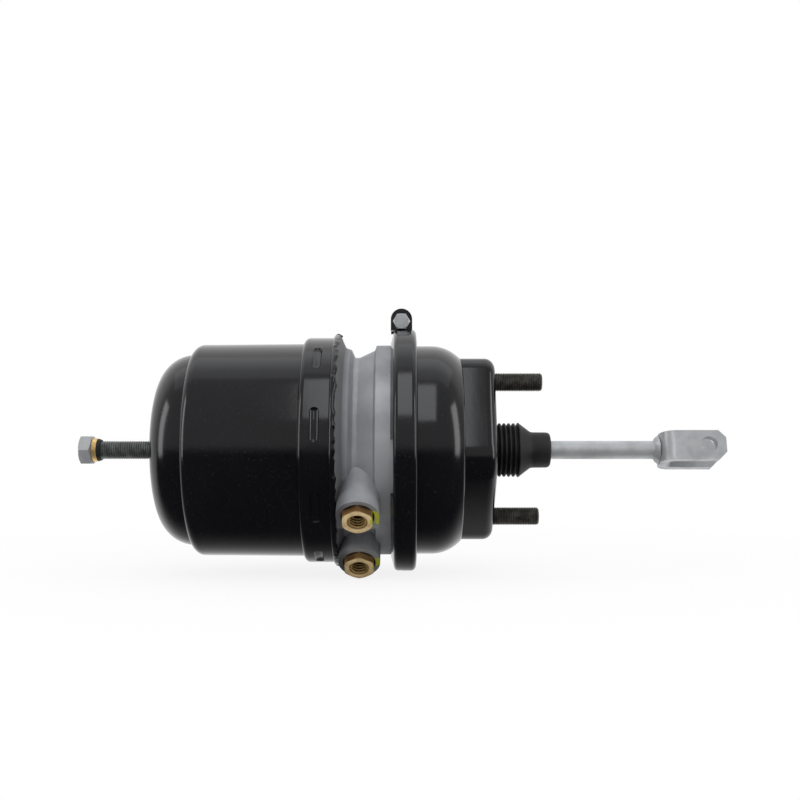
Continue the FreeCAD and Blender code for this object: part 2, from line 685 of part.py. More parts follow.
def clevis():
    """Flat bar bent to a fork, drilled for the pin, ear corners cut off."""
    width = CLEVIS_GAP + 2 * CLEVIS_EAR
    half = width / 2
    inner_bend = max(CLEVIS_BEND_R - CLEVIS_EAR, 1.5)
    web_in = CLEVIS_X + CLEVIS_EAR

    def flat(x, y):
        return Vector(x, y, -CLEVIS_HEIGHT / 2)

    outline = rounded_wire([
        (CLEVIS_X, -half, CLEVIS_BEND_R),
        (CLEVIS_END_X, -half, 0),
        (CLEVIS_END_X, -CLEVIS_GAP / 2, 0),
        (web_in, -CLEVIS_GAP / 2, inner_bend),
        (web_in, CLEVIS_GAP / 2, inner_bend),
        (CLEVIS_END_X, CLEVIS_GAP / 2, 0),
        (CLEVIS_END_X, half, 0),
        (CLEVIS_X, half, CLEVIS_BEND_R),
    ], flat)
    body = Part.Face(outline).extrude(Vector(0, 0, CLEVIS_HEIGHT))
    top = CLEVIS_HEIGHT / 2
    for side in (-1, 1):
        cut = Part.Face(Part.makePolygon([
            Vector(CLEVIS_END_X - CLEVIS_CHAMFER, -half - 1, side * top),
            Vector(CLEVIS_END_X + 1, -half - 1, side * (top - CLEVIS_CHAMFER - 1)),
            Vector(CLEVIS_END_X + 1, -half - 1, side * (top + 1)),
            Vector(CLEVIS_END_X - CLEVIS_CHAMFER, -half - 1, side * (top + 1)),
            Vector(CLEVIS_END_X - CLEVIS_CHAMFER, -half - 1, side * top)]))
        body = body.cut(cut.extrude(Vector(0, width + 2, 0)))
    hole = Part.makeCylinder(CLEVIS_HOLE_R, width + 2, Vector(CLEVIS_HOLE_X, -half - 1, 0), Vector(0, 1, 0))
    return turned_about_axis(body.cut(hole), -CLEVIS_TILT)


def push_rod_boot():
    """Rubber bellows buttoned into the rod hole, with a sleeve that grips the rod."""
    neck_r = ROD_HOLE_R - PART_GAP
    outside = [(0, neck_r, 0), (2.4, BOOT_RIDGE_R, 0.6)]
    for i in range(BOOT_RIDGES):
        x = 3.3 + BOOT_PITCH * i
        outside.append((x, BOOT_FOLD_R + BOOT_WALL, 0.4))
        outside.append((x + BOOT_PITCH / 2 - 0.4, BOOT_RIDGE_R, 0.7))
        outside.append((x + BOOT_PITCH / 2 + 0.4, BOOT_RIDGE_R, 0.7))
    last_x = 3.3 + BOOT_PITCH * BOOT_RIDGES
    outside += [
        (last_x, BOOT_FOLD_R + BOOT_WALL, 0.4),
        (last_x + 1.4, BOOT_RIDGE_R + 0.4, 0.8),
        (33.1, 16.0, 2.0),
        (BOOT_END_X, BOOT_SLEEVE_R, 2.8),
        (BOOT_END_X, ROD_R + PART_GAP, 0),
        (32.0, ROD_R + PART_GAP, 0),
        (last_x + 1.4, BOOT_FOLD_R - 0.6, 2.0),
    ]
    inside_end = [
        (-2 * PLATE_THICK, BOOT_FOLD_R, 0.6),
        (-2 * PLATE_THICK, ROD_HOLE_R + 3.5, 0.8),
        (-PLATE_THICK - PART_GAP, ROD_HOLE_R + 3.5, 0.8),
        (-PLATE_THICK - PART_GAP, neck_r, 0),
    ]
    return revolved(outside + inside_end)


def return_spring():
    x0 = plate_face_x() + RUNNING_GAP
    x1 = -2 * PLATE_THICK - 0.04
    return helix_spring(x0, x1, RETURN_COIL_R, RETURN_WIRE_R, 4.5)


def spring_piston():
    face_x = PISTON_FACE_X
    back_x = face_x - PISTON_WEB
    skirt_x = face_x - PISTON_SKIRT
    seal_in = PISTON_R - 4.2
    guide_in = PISTON_R - 2.4
    return revolved([
        (face_x, TUBE_R + 0.02, 0),
        (face_x, PISTON_R, 1.0),
        (face_x - 2.5, PISTON_R, 0),
        (face_x - 2.5, seal_in, 0),
        (face_x - 7.5, seal_in, 0),
        (face_x - 7.5, PISTON_R, 0),
        (face_x - 10.0, PISTON_R, 0),
        (face_x - 10.0, guide_in, 0),
        (face_x - 18.0, guide_in, 0),
        (face_x - 18.0, PISTON_R, 0),
        (skirt_x, PISTON_R, 0.5),
        (skirt_x, PISTON_R - PISTON_RIM, 0.5),
        (back_x, PISTON_R - PISTON_RIM - 1.0, 3.0),
        (back_x, 26.0, 2.0),
        (skirt_x, 24.0, 1.0),
        (skirt_x, TUBE_R + 0.02, 0),
    ])


def piston_seal():
    seal_in = PISTON_R - 4.2
    x1 = PISTON_FACE_X - 2.6
    lip = BORE_R - PART_GAP
    return revolved([
        (x1, seal_in + 0.05, 0),
        (x1, lip, 0.5),
        (x1 - 1.6, lip - 0.6, 0.4),
        (x1 - 4.8, PISTON_R - 0.4, 0.4),
        (x1 - 4.8, seal_in + 0.05, 0),
    ])


def piston_guide_ring():
    guide_in = PISTON_R - 2.4
    x1 = PISTON_FACE_X - 10.1
    return ring(x1 - 7.8, x1, guide_in + 0.05, BORE_R - PART_GAP)


def tube_foot_x():
    return CAVITY_FLOOR_X + 0.5 + TUBE_FOOT_THICK


def diaphragm_x():
    return tube_foot_x() + PART_GAP


def push_tube():
    """Hollow rod of the piston, closed by its foot behind the diaphragm."""
    left_x = PISTON_FACE_X - PISTON_SKIRT
    foot_x = tube_foot_x()
    return revolved([
        (left_x, TUBE_BORE_R, 0),
        (left_x, TUBE_R, 0),
        (foot_x - TUBE_FOOT_THICK, TUBE_R, 0),
        (foot_x - TUBE_FOOT_THICK, TUBE_FOOT_R, 1.0),
        (foot_x, TUBE_FOOT_R, 2.0),
        (foot_x, 0, 0),
        (foot_x - TUBE_FOOT_THICK, 0, 0),
        (foot_x - TUBE_FOOT_THICK, TUBE_BORE_R, 1.0),
    ])


def tube_shoulder_ring():
    """Ring in the tube's mouth that the bolt's disc pulls on."""
    left_x = PISTON_FACE_X - PISTON_SKIRT + 1.0
    return ring(left_x, left_x + TUBE_SHOULDER, BOLT_R + 0.4, TUBE_BORE_R - 0.02)


def bolt_disc_x():
    return PISTON_FACE_X - PISTON_SKIRT + 1.0 + TUBE_SHOULDER + PART_GAP


def release_bolt_disc():
    x0 = bolt_disc_x()
    return ring(x0, x0 + BOLT_DISC_THICK, BOLT_R - 2.0 + 0.02, TUBE_BORE_R - 0.4)


def release_bolt():
    """Threaded shaft from the hexagon to the disc inside the push tube."""
    head_bottom = BOLT_HEX_X + 5.0
    x0 = bolt_disc_x()
    neck_r = BOLT_R - 2.0
    return revolved([
        (head_bottom, 0, 0),
        (head_bottom, BOLT_R, 0),
        (x0 - 0.05, BOLT_R, 0),
        (x0 - 0.05, neck_r, 0),
        (x0 + BOLT_DISC_THICK + 0.05, neck_r, 0),
        (x0 + BOLT_DISC_THICK + 0.05, neck_r + 1.5, 0),
        (x0 + BOLT_DISC_THICK + 2.5, neck_r + 1.0, 0),
        (x0 + BOLT_DISC_THICK + 2.5, 0, 0),
    ])


def release_bolt_hexagon():
    start = Vector(BOLT_HEX_X, 0, 0)
    corner = Vector(0, -1, 0)
    nut = chamfered_hexagon(BOLT_HEX, start, BOLT_HEX_HEIGHT, AXIS, corner, (0, 1))
    return nut.cut(rod(BOLT_HEX_X + 5.0, BOLT_HEX_X + 40.0, BOLT_R + 0.02))


def release_bolt_collar():
    x0 = BOLT_HEX_X + BOLT_HEX_HEIGHT
    x1 = x0 + BOLT_BRASS_THICK
    return revolved([
        (x0, BOLT_R + 0.02, 0),
        (x0, BOLT_BRASS_R, 0.4),
        (x1, BOLT_BRASS_R - 0.5, 0.4),
        (x1, BOLT_R + 0.02, 0),
    ])


def release_bolt_seal():
    x0 = BOLT_HEX_X + BOLT_HEX_HEIGHT + BOLT_BRASS_THICK
    x1 = x0 + BOLT_SEAL_THICK
    return revolved([
        (x0, BOLT_R + 0.02, 0),
        (x0, BOLT_SEAL_R + 0.4, 0.4),
        (x1, BOLT_SEAL_R - 0.8, 0.6),
        (x1, BOLT_R + 0.02, 0),
    ])


def release_bush():
    """Flanged nut in the middle of the housing's end, which the release bolt runs in."""
    floor = HOUSING_END_X + RECESS_DEPTH
    inside = floor + SHEET + 0.05
    return revolved([
        (floor + 0.4, BOLT_R + RUNNING_GAP, 0),
        (floor + 0.4, BUSH_R, 0.6),
        (inside, BUSH_R, 0),
        (inside, BUSH_R + 5.0, 0.6),
        (inside + 4.0, BUSH_R + 5.0, 0.6),
        (inside + 4.0, BUSH_R - 1.0, 0),
        (inside + 10.0, BUSH_R - 1.0, 0.8),
        (inside + 10.0, BOLT_R + RUNNING_GAP, 0),
    ])


def power_spring():
    x0 = HOUSING_END_X + SHEET + 1.7
    x1 = PISTON_FACE_X - PISTON_WEB - RUNNING_GAP
    return helix_spring(x0, x1, SPRING_COIL_R, SPRING_WIRE_R, 3.7)


def tube_bush():
    x0 = HUB_LEFT_X + 4.0
    return ring(x0, x0 + 20.0, TUBE_R + RUNNING_GAP, HUB_BORE_R - 0.02)


def tube_seal():
    x1 = CAVITY_FLOOR_X - 7.0
    return revolved([
        (x1 - 5.5, TUBE_R + RUNNING_GAP, 0.3),
        (x1, TUBE_R + RUNNING_GAP, 0.3),
        (x1, HUB_BORE_R - 0.02, 0.5),
        (x1 - 5.5, HUB_BORE_R - 0.02, 0.5),
    ])


def tube_seal_retainer():
    x1 = CAVITY_FLOOR_X - 3.8
    return ring(x1 - 2.6, x1, TUBE_R + 0.4, HUB_BORE_R - 0.02)


def spigot_seal():
    """Sealing ring between the spigot's end and the housing's shoulder."""
    return ring(SHOULDER_IN_X + 0.1, FLANGE_LEFT_X - 0.1, BORE_R + 1.2, SPIGOT_R - 1.6)


NODES = {
    "spring_housing": spring_housing,
    "centre_flange": centre_flange,
    "port_fitting_parking": lambda: port_fitting(-1),
    "port_fitting_service": lambda: port_fitting(1),
    "port_seal_rings": port_seal_rings,
    "clamp_ring": clamp_ring,
    "clamp_bolt": clamp_bolt,
    "clamp_nut": clamp_nut,
    "front_housing": front_housing,
    "stud_backing_plate": stud_backing_plate,
    "mounting_studs": mounting_studs,
    "diaphragm": diaphragm,
    "push_plate": push_plate,
    "socket_retainer": socket_retainer,
    "push_rod": push_rod,
    "clevis": clevis,
    "push_rod_boot": push_rod_boot,
    "return_spring": return_spring,
    "spring_piston": spring_piston,
    "piston_seal": piston_seal,
    "piston_guide_ring": piston_guide_ring,
    "push_tube": push_tube,
    "tube_shoulder_ring": tube_shoulder_ring,
    "tube_bush": tube_bush,
    "tube_seal": tube_seal,
    "tube_seal_retainer": tube_seal_retainer,
    "spigot_seal": spigot_seal,
    "power_spring": power_spring,
    "release_bush": release_bush,
    "release_bolt": release_bolt,
    "release_bolt_disc": release_bolt_disc,
    "release_bolt_hexagon": release_bolt_hexagon,
    "release_bolt_collar": release_bolt_collar,
    "release_bolt_seal": release_bolt_seal,
}

os.makedirs("parts", exist_ok=True)
for name, make in NODES.items():
    shape = make()
    shape.exportStep("parts/" + name + ".step")
    box = shape.BoundBox
    print(name, "valid" if shape.isValid() else "INVALID", len(shape.Solids), round(shape.Volume / 1000, 2), "cm3",
          [round(v, 1) for v in (box.XMin, box.YMin, box.ZMin, box.XMax, box.YMax, box.ZMax)])
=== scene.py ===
import math
import random

import bmesh
import bpy
from mathutils import Matrix, Vector


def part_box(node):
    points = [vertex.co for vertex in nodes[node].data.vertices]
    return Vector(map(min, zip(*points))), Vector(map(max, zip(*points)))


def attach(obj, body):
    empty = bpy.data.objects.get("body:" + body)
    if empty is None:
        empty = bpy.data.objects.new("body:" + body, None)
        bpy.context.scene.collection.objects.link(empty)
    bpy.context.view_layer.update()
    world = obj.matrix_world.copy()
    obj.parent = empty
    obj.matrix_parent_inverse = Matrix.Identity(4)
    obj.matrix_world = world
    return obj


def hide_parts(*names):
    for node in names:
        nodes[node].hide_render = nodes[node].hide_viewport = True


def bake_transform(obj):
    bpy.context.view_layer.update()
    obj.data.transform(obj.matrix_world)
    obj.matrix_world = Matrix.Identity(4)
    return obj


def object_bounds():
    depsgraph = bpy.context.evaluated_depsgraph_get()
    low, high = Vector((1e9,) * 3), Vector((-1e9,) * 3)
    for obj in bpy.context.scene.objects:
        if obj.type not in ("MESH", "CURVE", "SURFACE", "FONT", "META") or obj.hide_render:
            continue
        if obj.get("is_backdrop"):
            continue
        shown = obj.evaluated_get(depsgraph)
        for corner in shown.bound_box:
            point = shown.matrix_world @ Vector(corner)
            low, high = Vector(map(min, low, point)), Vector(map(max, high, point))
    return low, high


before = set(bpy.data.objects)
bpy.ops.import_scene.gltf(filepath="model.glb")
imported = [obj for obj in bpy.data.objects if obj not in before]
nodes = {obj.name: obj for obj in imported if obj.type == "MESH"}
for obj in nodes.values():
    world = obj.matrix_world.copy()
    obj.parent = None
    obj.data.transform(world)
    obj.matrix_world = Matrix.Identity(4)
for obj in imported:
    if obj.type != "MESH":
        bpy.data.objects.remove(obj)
cad_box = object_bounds()

# Sizes in millimetres: X along the push rod, Z up, the ports towards -Y, X = 0 on the mounting face.
MM = 0.001
TURN_STEPS = 128
BOWL_STEPS = 192

STUD_SPACING = 120.65
STUD_TILT = math.radians(11.0)
STUD_LINE = Vector((0, -math.sin(STUD_TILT), math.cos(STUD_TILT)))
ACROSS_STUDS = Vector((0, math.cos(STUD_TILT), math.sin(STUD_TILT)))
STUD_R = 8.0
STUD_PITCH = 1.5
STUD_REACH = 41.3
STUD_HEAD_R = 13.0

BOLT_R = 8.0
BOLT_PITCH = 2.0
BOLT_NECK_R = 6.0

PORT_TILT = math.radians(44.0)
PORT_SIDE = Vector((0, math.sin(PORT_TILT), -math.cos(PORT_TILT)))
PORT_OUT = Vector((0, -math.cos(PORT_TILT), -math.sin(PORT_TILT)))
PORT_X = -116.2
PORT_OFFSET = 28.2

FOLD_PITCH = 4.1
BOOT_R = 23.8
BOOT_END = 50.0

SHEET = 3.0
BOWL_R = 91.4
BOWL_BEAD_R = 101.0
BOWL_BACK = -77.4
BOWL_FRONT = -29.0
PAD_DEPTH = 32.0
PAD_EDGE_R = 9.0
PAD_END_R = 20.7
PAD_END_OFFSET = 60.3
PAD_SIDE_R = 30.0
PAD_SIDE_OFFSET = 28.0
ROD_HOLE_R = 24.2
BAND_R = 106.15


# Mesh helpers

def finish_piece(name, bm, material, body, sharp_angle=32.0):
    """Makes the mesh an object with smooth faces and sharp edges past an angle, and puts it on its body."""
    bmesh.ops.remove_doubles(bm, verts=bm.verts, dist=1e-6)
    bmesh.ops.recalc_face_normals(bm, faces=bm.faces)
    for face in bm.faces:
        face.smooth = True
    limit = math.radians(sharp_angle)
    for edge in bm.edges:
        if len(edge.link_faces) == 2:
            edge.smooth = edge.calc_face_angle() < limit
    mesh = bpy.data.meshes.new(name)
    bm.to_mesh(mesh)
    bm.free()
    piece = bpy.data.objects.new(name, mesh)
    bpy.context.scene.collection.objects.link(piece)
    mesh.materials.append(material)
    if body:
        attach(piece, body)
    return piece


def outline_edges(bm, points, closed):
    """A chain of vertices (x, r) in the XZ half plane, joined by edges."""
    verts = [bm.verts.new((x * MM, 0.0, r * MM)) for x, r in points]
    edges = [bm.edges.new(pair) for pair in zip(verts, verts[1:])]
    if closed:
        edges.append(bm.edges.new((verts[-1], verts[0])))
    return verts + edges


def turned(points, steps=TURN_STEPS, closed=True):
    """A body turned round the X axis from its half section in millimetres."""
    bm = bmesh.new()
    geom = outline_edges(bm, points, closed)
    bmesh.ops.spin(bm, geom=geom, cent=(0, 0, 0), axis=(1, 0, 0), dvec=(0, 0, 0), angle=math.tau,
                   space=Matrix(), steps=steps, use_merge=True, use_normal_flip=False, use_duplicate=False)
    return bm


def threaded_shaft(start, end, radius, pitch, depth, chamfer_start, chamfer_end, steps=40):
    """A screw thread along X: a saw-tooth outline spun one turn while it moves on by one pitch."""
    bm = bmesh.new()
    points = []
    x = start - 2.5 * pitch
    while x < end + 1.5 * pitch:
        points += [(x, radius - depth), (x + 0.12 * pitch, radius - depth)]
        points += [(x + 0.5 * pitch, radius), (x + 0.62 * pitch, radius)]
        x += pitch
    geom = outline_edges(bm, points, False)
    bmesh.ops.spin(bm, geom=geom, cent=(0, 0, 0), axis=(1, 0, 0), dvec=(pitch * MM / steps, 0, 0), angle=math.tau,
                   space=Matrix(), steps=steps, use_merge=False, use_normal_flip=False, use_duplicate=False)
    bmesh.ops.remove_doubles(bm, verts=bm.verts, dist=1e-6)
    for vert in bm.verts:
        limit = radius * MM
        if chamfer_start:
            limit = min(limit, (radius - chamfer_start) * MM + max(vert.co.x - start * MM, 0.0))
        if chamfer_end:
            limit = min(limit, (radius - chamfer_end) * MM + max(end * MM - vert.co.x, 0.0))
        reach = math.hypot(vert.co.y, vert.co.z)
        if reach > limit:
            vert.co.y *= limit / reach
            vert.co.z *= limit / reach
    for place, normal in ((start, -1.0), (end, 1.0)):
        cut = bmesh.ops.bisect_plane(bm, geom=bm.verts[:] + bm.edges[:] + bm.faces[:], dist=1e-7,
                                     plane_co=(place * MM, 0, 0), plane_no=(normal, 0, 0), clear_outer=True)
        rim = [item for item in cut["geom_cut"] if isinstance(item, bmesh.types.BMEdge)]
        bmesh.ops.contextual_create(bm, geom=rim)
    return bm


def joined(target, other):
    """Adds another bmesh to the target."""
    mesh = bpy.data.meshes.new("joined")
    other.to_mesh(mesh)
    other.free()
    target.from_mesh(mesh)
    bpy.data.meshes.remove(mesh)


# Material helpers

def math_node(tree, operation, first, second):
    """Clamped sum, product or other of two values or sockets."""
    node = tree.nodes.new("ShaderNodeMath")
    node.operation = operation
    node.use_clamp = True
    for socket, value in zip(node.inputs, (first, second)):
        if isinstance(value, float):
            socket.default_value = value
        else:
            tree.links.new(value, socket)
    return node.outputs["Value"]


def map_range(tree, value, low, high, start, end):
    """A value that goes smoothly from start to end while another goes from low to high."""
    node = tree.nodes.new("ShaderNodeMapRange")
    node.interpolation_type = "SMOOTHSTEP"
    tree.links.new(value, node.inputs["Value"])
    for label, number in (("From Min", low), ("From Max", high), ("To Min", start), ("To Max", end)):
        node.inputs[label].default_value = number
    return node.outputs["Result"]


def node_group(name, inputs, outputs):
    """A shader group with float sockets; an output whose name ends in Normal is a vector."""
    group = bpy.data.node_groups.new(name, "ShaderNodeTree")
    for label, value in inputs:
        kind = "NodeSocketVector" if value is None else "NodeSocketFloat"
        socket = group.interface.new_socket(name=label, in_out="INPUT", socket_type=kind)
        if value is not None:
            socket.default_value = value
    for label in outputs:
        kind = "NodeSocketVector" if label.endswith("Normal") else "NodeSocketFloat"
        group.interface.new_socket(name=label, in_out="OUTPUT", socket_type=kind)
    return group, group.nodes.new("NodeGroupInput"), group.nodes.new("NodeGroupOutput")


def uneven_surface_group():
    """Noise at one size, as a 0 to 1 mask and as a bumped normal."""
    group, given, result = node_group(
        "uneven_surface", [("Place", None), ("Scale", 100.0), ("Detail", 3.0), ("Low", 0.4), ("High", 0.6),
                           ("Depth", 0.0001)], ["Mask", "Normal"])
    noise = group.nodes.new("ShaderNodeTexNoise")
    spread = group.nodes.new("ShaderNodeMapRange")
    bump = group.nodes.new("ShaderNodeBump")
    bump.inputs["Strength"].default_value = 1.0
    link = group.links.new
    link(given.outputs["Place"], noise.inputs["Vector"])
    link(given.outputs["Scale"], noise.inputs["Scale"])
    link(given.outputs["Detail"], noise.inputs["Detail"])
    link(noise.outputs["Fac"], spread.inputs["Value"])
    link(given.outputs["Low"], spread.inputs["From Min"])
    link(given.outputs["High"], spread.inputs["From Max"])
    link(noise.outputs["Fac"], bump.inputs["Height"])
    link(given.outputs["Depth"], bump.inputs["Distance"])
    link(spread.outputs["Result"], result.inputs["Mask"])
    link(bump.outputs["Normal"], result.inputs["Normal"])
    return group


def dab_group():
    """A mask that is 1 inside a ragged round patch about a point."""
    group, given, result = node_group(
        "brushed_dab", [("Place", None), ("Middle", None), ("Radius", 0.004), ("Ragged", 0.002)], ["Mask"])
    away = group.nodes.new("ShaderNodeVectorMath")
    away.operation = "DISTANCE"
    noise = group.nodes.new("ShaderNodeTexNoise")
    noise.inputs["Scale"].default_value = 420.0
    wander = group.nodes.new("ShaderNodeMath")
    wander.operation = "MULTIPLY"
    reach = group.nodes.new("ShaderNodeMath")
    reach.operation = "ADD"
    inside = group.nodes.new("ShaderNodeMath")
    inside.operation = "LESS_THAN"
    link = group.links.new
    link(given.outputs["Place"], away.inputs[0])
    link(given.outputs["Middle"], away.inputs[1])
    link(given.outputs["Place"], noise.inputs["Vector"])
    link(noise.outputs["Fac"], wander.inputs[0])
    link(given.outputs["Ragged"], wander.inputs[1])
    link(away.outputs["Value"], reach.inputs[0])
    link(wander.outputs["Value"], reach.inputs[1])
    link(reach.outputs["Value"], inside.inputs[0])
    link(given.outputs["Radius"], inside.inputs[1])
    link(inside.outputs["Value"], result.inputs["Mask"])
    return group


UNEVEN = uneven_surface_group()
DAB = dab_group()


class Finish:
    """A material on Object coordinates with a Principled shader and its layers."""

    def __init__(self, name):
        self.material = bpy.data.materials.new(name)
        self.material.use_nodes = True
        self.tree = self.material.node_tree
        self.shader = self.tree.nodes["Principled BSDF"]
        self.place = self.tree.nodes.new("ShaderNodeTexCoord").outputs["Object"]

    def set(self, **values):
        for label, value in values.items():
            self.shader.inputs[label.replace("_", " ")].default_value = value
        return self

    def link(self, source, label):
        self.tree.links.new(source, self.shader.inputs[label])

    def stretched(self, along, across):
        """Object coordinates scaled differently along X and across it, for brushed or turned marks."""
        mapping = self.tree.nodes.new("ShaderNodeMapping")
        mapping.inputs["Scale"].default_value = (along, across, across)
        self.tree.links.new(self.place, mapping.inputs["Vector"])
        return mapping.outputs["Vector"]

    def uneven(self, scale, low=0.4, high=0.6, depth=0.0001, detail=3.0, place=None):
        node = self.tree.nodes.new("ShaderNodeGroup")
        node.node_tree = UNEVEN
        self.tree.links.new(place or self.place, node.inputs["Place"])
        for label, value in (("Scale", scale), ("Low", low), ("High", high), ("Depth", depth), ("Detail", detail)):
            node.inputs[label].default_value = value
        return node

    def dab(self, middle, radius, ragged):
        node = self.tree.nodes.new("ShaderNodeGroup")
        node.node_tree = DAB
        self.tree.links.new(self.place, node.inputs["Place"])
        node.inputs["Middle"].default_value = middle
        node.inputs["Radius"].default_value = radius
        node.inputs["Ragged"].default_value = ragged
        return node.outputs["Mask"]

    def blend(self, mask, first, second):
        """Colour or value between two others by a mask; each may be a constant or a socket."""
        colour = not isinstance(first, float)
        mix = self.tree.nodes.new("ShaderNodeMix")
        mix.data_type = "RGBA" if colour else "FLOAT"
        names = {"RGBA": ("A_Color", "B_Color", "Result_Color"), "FLOAT": ("A_Float", "B_Float", "Result_Float")}
        a_name, b_name, result_name = names[mix.data_type]
        by_id = {socket.identifier: socket for socket in mix.inputs}
        for socket_name, value in ((a_name, first), (b_name, second)):
            if isinstance(value, bpy.types.NodeSocket):
                self.tree.links.new(value, by_id[socket_name])
            elif colour:
                by_id[socket_name].default_value = (*value, 1.0)
            else:
                by_id[socket_name].default_value = value
        self.tree.links.new(mask, by_id["Factor_Float"])
        return {socket.identifier: socket for socket in mix.outputs}[result_name]


def gloss_black_paint():
    paint = Finish("gloss_black_paint")
    paint.set(IOR=1.43)
    peel = paint.uneven(260.0, 0.3, 0.7, 0.00002, 2.0)
    haze = paint.uneven(14.0, 0.35, 0.7, 0.0, 4.0)
    dust = paint.uneven(900.0, 0.70, 0.76, 0.0, 1.0)
    tone = paint.blend(haze.outputs["Mask"], (0.0022, 0.0022, 0.0034), (0.0038, 0.0038, 0.0058))
    tone = paint.blend(dust.outputs["Mask"], tone, (0.03, 0.03, 0.033))
    paint.link(tone, "Base Color")
    paint.link(paint.blend(haze.outputs["Mask"], 0.12, 0.19), "Roughness")
    paint.link(peel.outputs["Normal"], "Normal")
    return paint.material


def port_place(x, offset, distance):
    """A point in metres from its X, its offset between the ports and its distance along their axes."""
    return (Vector((x, 0, 0)) + PORT_SIDE * offset + PORT_OUT * distance) * MM


def paint_marks(finish, tone):
    """The three dabs of inspection paint beside the port hexagons, laid over a colour."""
    dabs = ((-103.0, -30.0, 108.6, 7.0), (-98.6, -22.5, 102.0, 7.0), (-102.4, 27.5, 108.2, 6.9))
    for x, offset, distance, radius in dabs:
        mask = finish.dab(port_place(x, offset, distance), radius * MM, 0.003)
        tone = finish.blend(mask, tone, (0.60, 0.61, 0.045))
    return tone


def cast_aluminium():
    metal = Finish("cast_aluminium")
    metal.set(Metallic=0.5)
    grain = metal.uneven(700.0, 0.3, 0.7, 0.0002, 5.0)
    cloud = metal.uneven(28.0, 0.35, 0.65, 0.0, 5.0)
    pits = metal.uneven(300.0, 0.70, 0.76, 0.0, 3.0)
    tone = metal.blend(cloud.outputs["Mask"], (0.30, 0.305, 0.32), (0.40, 0.405, 0.42))
    tone = metal.blend(pits.outputs["Mask"], tone, (0.17, 0.17, 0.17))
    # Painted shade: the base colour turns dark grey on the flange just beside the crimped lip, where the band shades
    # it.
    split = metal.tree.nodes.new("ShaderNodeSeparateXYZ")
    metal.tree.links.new(metal.place, split.inputs["Vector"])
    lip_painted_shade = map_range(metal.tree, split.outputs["X"], -0.131, -0.121, 1.0, 0.0)
    tone = metal.blend(lip_painted_shade, tone, (0.15, 0.15, 0.157))
    metal.link(paint_marks(metal, tone), "Base Color")
    metal.link(metal.blend(cloud.outputs["Mask"], 0.66, 0.54), "Roughness")
    metal.link(grain.outputs["Normal"], "Normal")
    return metal.material


def turned_brass(name, light, dark, metallic, rough):
    brass = Finish(name)
    brass.set(Metallic=metallic)
    marks = brass.uneven(30.0, 0.3, 0.7, 0.00004, 2.0, brass.stretched(40.0, 4.0))
    stain = brass.uneven(120.0, 0.45, 0.7, 0.0, 4.0)
    brass.link(brass.blend(stain.outputs["Mask"], light, dark), "Base Color")
    brass.link(brass.blend(stain.outputs["Mask"], rough, rough + 0.14), "Roughness")
    brass.link(marks.outputs["Normal"], "Normal")
    return brass.material


def brass_painted_face_light():
    """Hexagon bar whose flats are painted dark brown as painted shade and whose face towards the hose is painted
    bright as a painted highlight.
    """
    brass = Finish("brass_painted_face_light")
    stain = brass.uneven(120.0, 0.45, 0.7, 0.00004, 4.0)
    along = brass.tree.nodes.new("ShaderNodeVectorMath")
    along.operation = "DOT_PRODUCT"
    brass.tree.links.new(brass.place, along.inputs[0])
    along.inputs[1].default_value = PORT_OUT
    face = brass.tree.nodes.new("ShaderNodeMapRange")
    face.inputs["From Min"].default_value = 111.4 * MM
    face.inputs["From Max"].default_value = 112.3 * MM
    brass.tree.links.new(along.outputs["Value"], face.inputs["Value"])
    # Painted light: the dark brown flats are painted shade and the bright face is a painted highlight, with less
    # metal on the face so that it reads as lit.
    flats = brass.blend(stain.outputs["Mask"], (0.30, 0.165, 0.06), (0.42, 0.26, 0.10))
    bright = brass.blend(stain.outputs["Mask"], (0.92, 0.70, 0.38), (0.62, 0.43, 0.19))
    tone = paint_marks(brass, brass.blend(face.outputs["Result"], flats, bright))
    brass.link(tone, "Base Color")
    brass.link(brass.blend(face.outputs["Result"], 0.85, 0.35), "Metallic")
    brass.link(brass.blend(stain.outputs["Mask"], 0.30, 0.42), "Roughness")
    brass.link(stain.outputs["Normal"], "Normal")
    return brass.material


def zinc_plate(name, light, dark, rough):
    zinc = Finish(name)
    zinc.set(Metallic=0.45)
    drawn = zinc.uneven(60.0, 0.3, 0.7, 0.00003, 3.0, zinc.stretched(1.5, 16.0))
    cloud = zinc.uneven(70.0, 0.38, 0.68, 0.0, 5.0)
    zinc.link(zinc.blend(cloud.outputs["Mask"], light, dark), "Base Color")
    zinc.link(zinc.blend(cloud.outputs["Mask"], rough, rough + 0.14), "Roughness")
    zinc.link(drawn.outputs["Normal"], "Normal")
    return zinc.material


def dark_thread(name, light, dark, rough):
    steel = Finish(name)
    steel.set(Metallic=0.65)
    oil = steel.uneven(160.0, 0.4, 0.65, 0.00003, 4.0)
    steel.link(steel.blend(oil.outputs["Mask"], dark, light), "Base Color")
    steel.link(steel.blend(oil.outputs["Mask"], rough, rough + 0.12), "Roughness")
    steel.link(oil.outputs["Normal"], "Normal")
    return steel.material


def black_rubber():
    rubber = Finish("black_rubber")
    rubber.set(Metallic=0.0, IOR=1.36)
    grain = rubber.uneven(900.0, 0.3, 0.7, 0.00008, 3.0)
    bloom = rubber.uneven(55.0, 0.45, 0.72, 0.0, 4.0)
    rubber.link(rubber.blend(bloom.outputs["Mask"], (0.008, 0.008, 0.009), (0.018, 0.018, 0.019)), "Base Color")
    rubber.link(rubber.blend(bloom.outputs["Mask"], 0.50, 0.68), "Roughness")
    rubber.link(grain.outputs["Normal"], "Normal")
    return rubber.material


def guide_plastic():
    plastic = Finish("guide_plastic")
    speck = plastic.uneven(500.0, 0.4, 0.7, 0.00003, 3.0)
    plastic.link(plastic.blend(speck.outputs["Mask"], (0.16, 0.16, 0.15), (0.24, 0.24, 0.22)), "Base Color")
    plastic.link(plastic.blend(speck.outputs["Mask"], 0.45, 0.6), "Roughness")
    plastic.link(speck.outputs["Normal"], "Normal")
    return plastic.material


